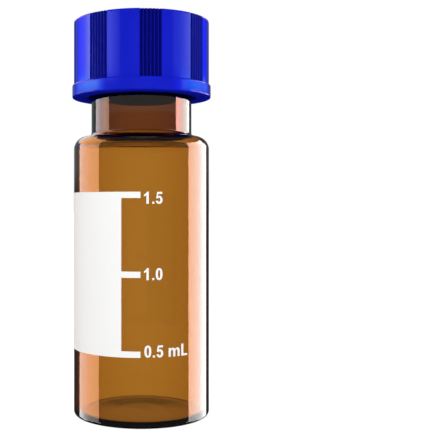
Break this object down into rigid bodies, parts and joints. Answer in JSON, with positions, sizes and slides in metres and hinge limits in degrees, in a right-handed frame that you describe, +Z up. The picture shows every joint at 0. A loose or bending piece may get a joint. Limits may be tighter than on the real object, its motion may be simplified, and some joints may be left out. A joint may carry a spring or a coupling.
{
  "type": "sample vial",
  "caption": "Amber glass sample vial with a ribbed screw cap, a needle port over a layered septum, and a white scale with a writing patch; the cap unscrews and lifts clear.",
  "frame": {"origin": "centre of the foot, on the surface that the vial stands on", "axes": "+Z up along the vial's axis, towards the cap; -Y is the side that the scale faces"},
  "size_m": [0.0119, 0.0118, 0.0336],
  "materials": {
    "amber_glass": "clear amber, fire polished",
    "white_enamel": "fired-on enamel, satin",
    "red_rubber": "matt",
    "white_film": "smooth film",
    "blue_polypropylene": "moulded, glossy"
  },
  "bodies": {
    "vial_body": {"vial": "amber_glass", "scale_print": "white_enamel"},
    "septum": {"septum_rubber": "red_rubber", "septum_film": "white_film"},
    "cap": {"cap": "blue_polypropylene"}
  },
  "joints": [
    {"name": "cap_lift", "type": "slide", "parent": "vial_body", "child": "septum", "axis": [0, 0, 1], "range_m": [0, 0.0063]},
    {"name": "cap_turn", "type": "hinge", "parent": "septum", "child": "cap", "pos_m": [0, 0, 0.0325], "axis": [0, 0, 1], "range_deg": [0, 1260]}
  ],
  "couplings": [
    {"joint": "cap_turn", "follows": "cap_lift", "rad_per_m": 3490.7}
  ]
}
